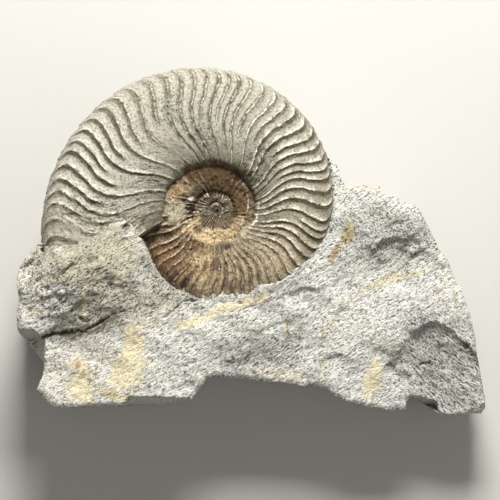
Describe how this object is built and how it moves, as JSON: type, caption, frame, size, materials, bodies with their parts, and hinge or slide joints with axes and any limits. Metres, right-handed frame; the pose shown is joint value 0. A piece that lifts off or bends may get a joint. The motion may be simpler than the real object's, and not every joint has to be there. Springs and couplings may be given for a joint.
{
  "type": "ammonite fossil",
  "caption": "Coiled, ribbed ammonite shell seen from one flank, standing out of an irregular piece of grey limestone that lies on a flat back.",
  "frame": {"origin": "middle of the specimen's box, on the flat back that it rests on", "axes": "+Z out of the face that shows the ammonite, +X along the specimen's length with the coil on the -X side, +Y towards the shell's free edge"},
  "size_m": [0.0879, 0.0641, 0.0308],
  "materials": {
    "fossil_shell": "calcite shell, pale grey on its outer whorl with darker grooves, honey brown on the inner whorls, dull",
    "limestone": "fine-grained pale grey limestone, rough broken faces with cream and ochre stains"
  },
  "bodies": {
    "root": {"ammonite": "fossil_shell", "matrix": "limestone"}
  },
  "joints": []
}
